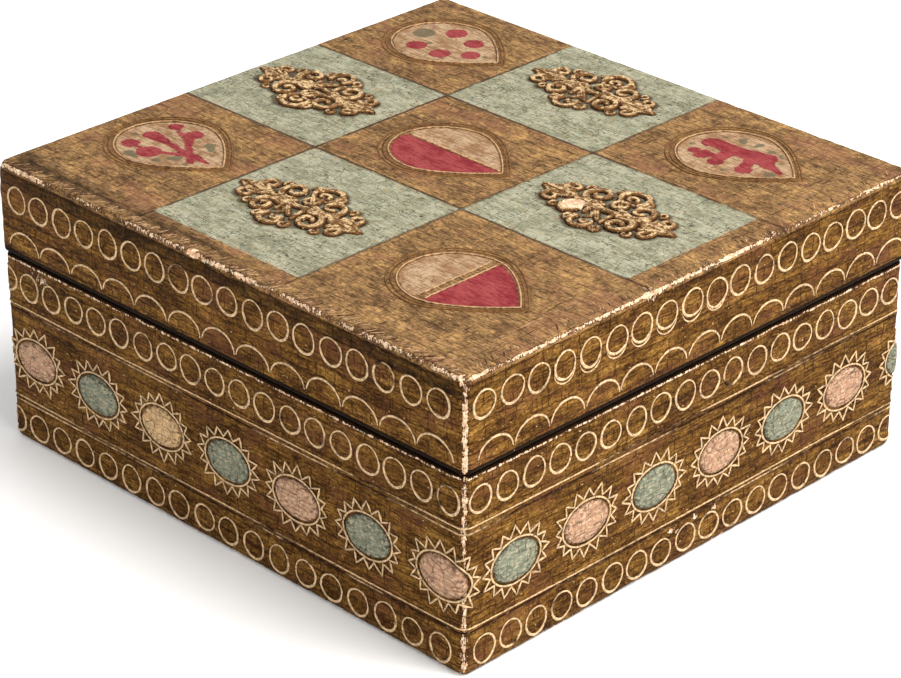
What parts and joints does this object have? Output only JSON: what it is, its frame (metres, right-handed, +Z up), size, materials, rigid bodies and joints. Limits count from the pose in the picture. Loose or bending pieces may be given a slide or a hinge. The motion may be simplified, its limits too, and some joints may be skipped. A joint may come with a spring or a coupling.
{
  "type": "gilt trinket box",
  "caption": "Low box of gilded and painted wood with a lift-off lid, a chequered top with raised scrolls and painted shields, and a band of sunbursts round the sides.",
  "frame": {"origin": "middle of the underside, on the surface the box stands on", "axes": "+Z up, -Y out of the front, the longer side, and +X out of the side to its right"},
  "size_m": [0.1528, 0.1468, 0.0728],
  "materials": {
    "gilded_sides": "worn gold leaf and brown glaze over gesso on wood",
    "gilded_lid": "worn gold leaf with painted green, crimson and cream fields"
  },
  "bodies": {
    "root": {"box_base": "gilded_sides", "lid": "gilded_lid"}
  },
  "joints": []
}
